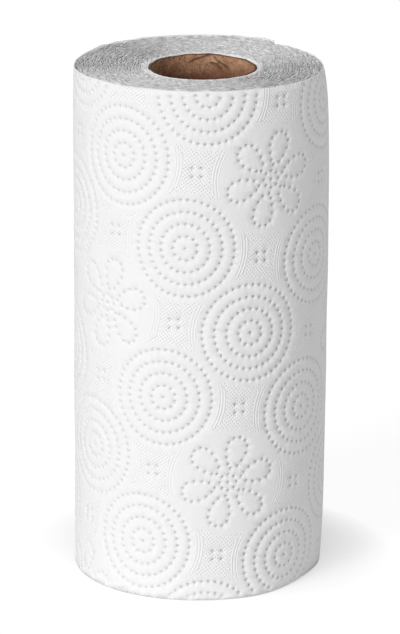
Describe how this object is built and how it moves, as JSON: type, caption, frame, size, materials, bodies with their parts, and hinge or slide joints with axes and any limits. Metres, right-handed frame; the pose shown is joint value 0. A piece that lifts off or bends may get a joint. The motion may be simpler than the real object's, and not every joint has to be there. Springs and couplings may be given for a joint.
{
  "type": "paper towel roll",
  "caption": "Upright roll of white embossed paper kitchen towel wound on a hollow cardboard core.",
  "frame": {"origin": "on the core's axis, at the end face that the roll stands on", "axes": "+Z along the core's axis, up; -Y towards the camera of the reference picture"},
  "size_m": [0.1094, 0.1099, 0.225],
  "materials": {
    "paper": "matte embossed",
    "cardboard": "matte"
  },
  "bodies": {
    "root": {"paper_roll": "paper", "cardboard_core": "cardboard"}
  },
  "joints": []
}
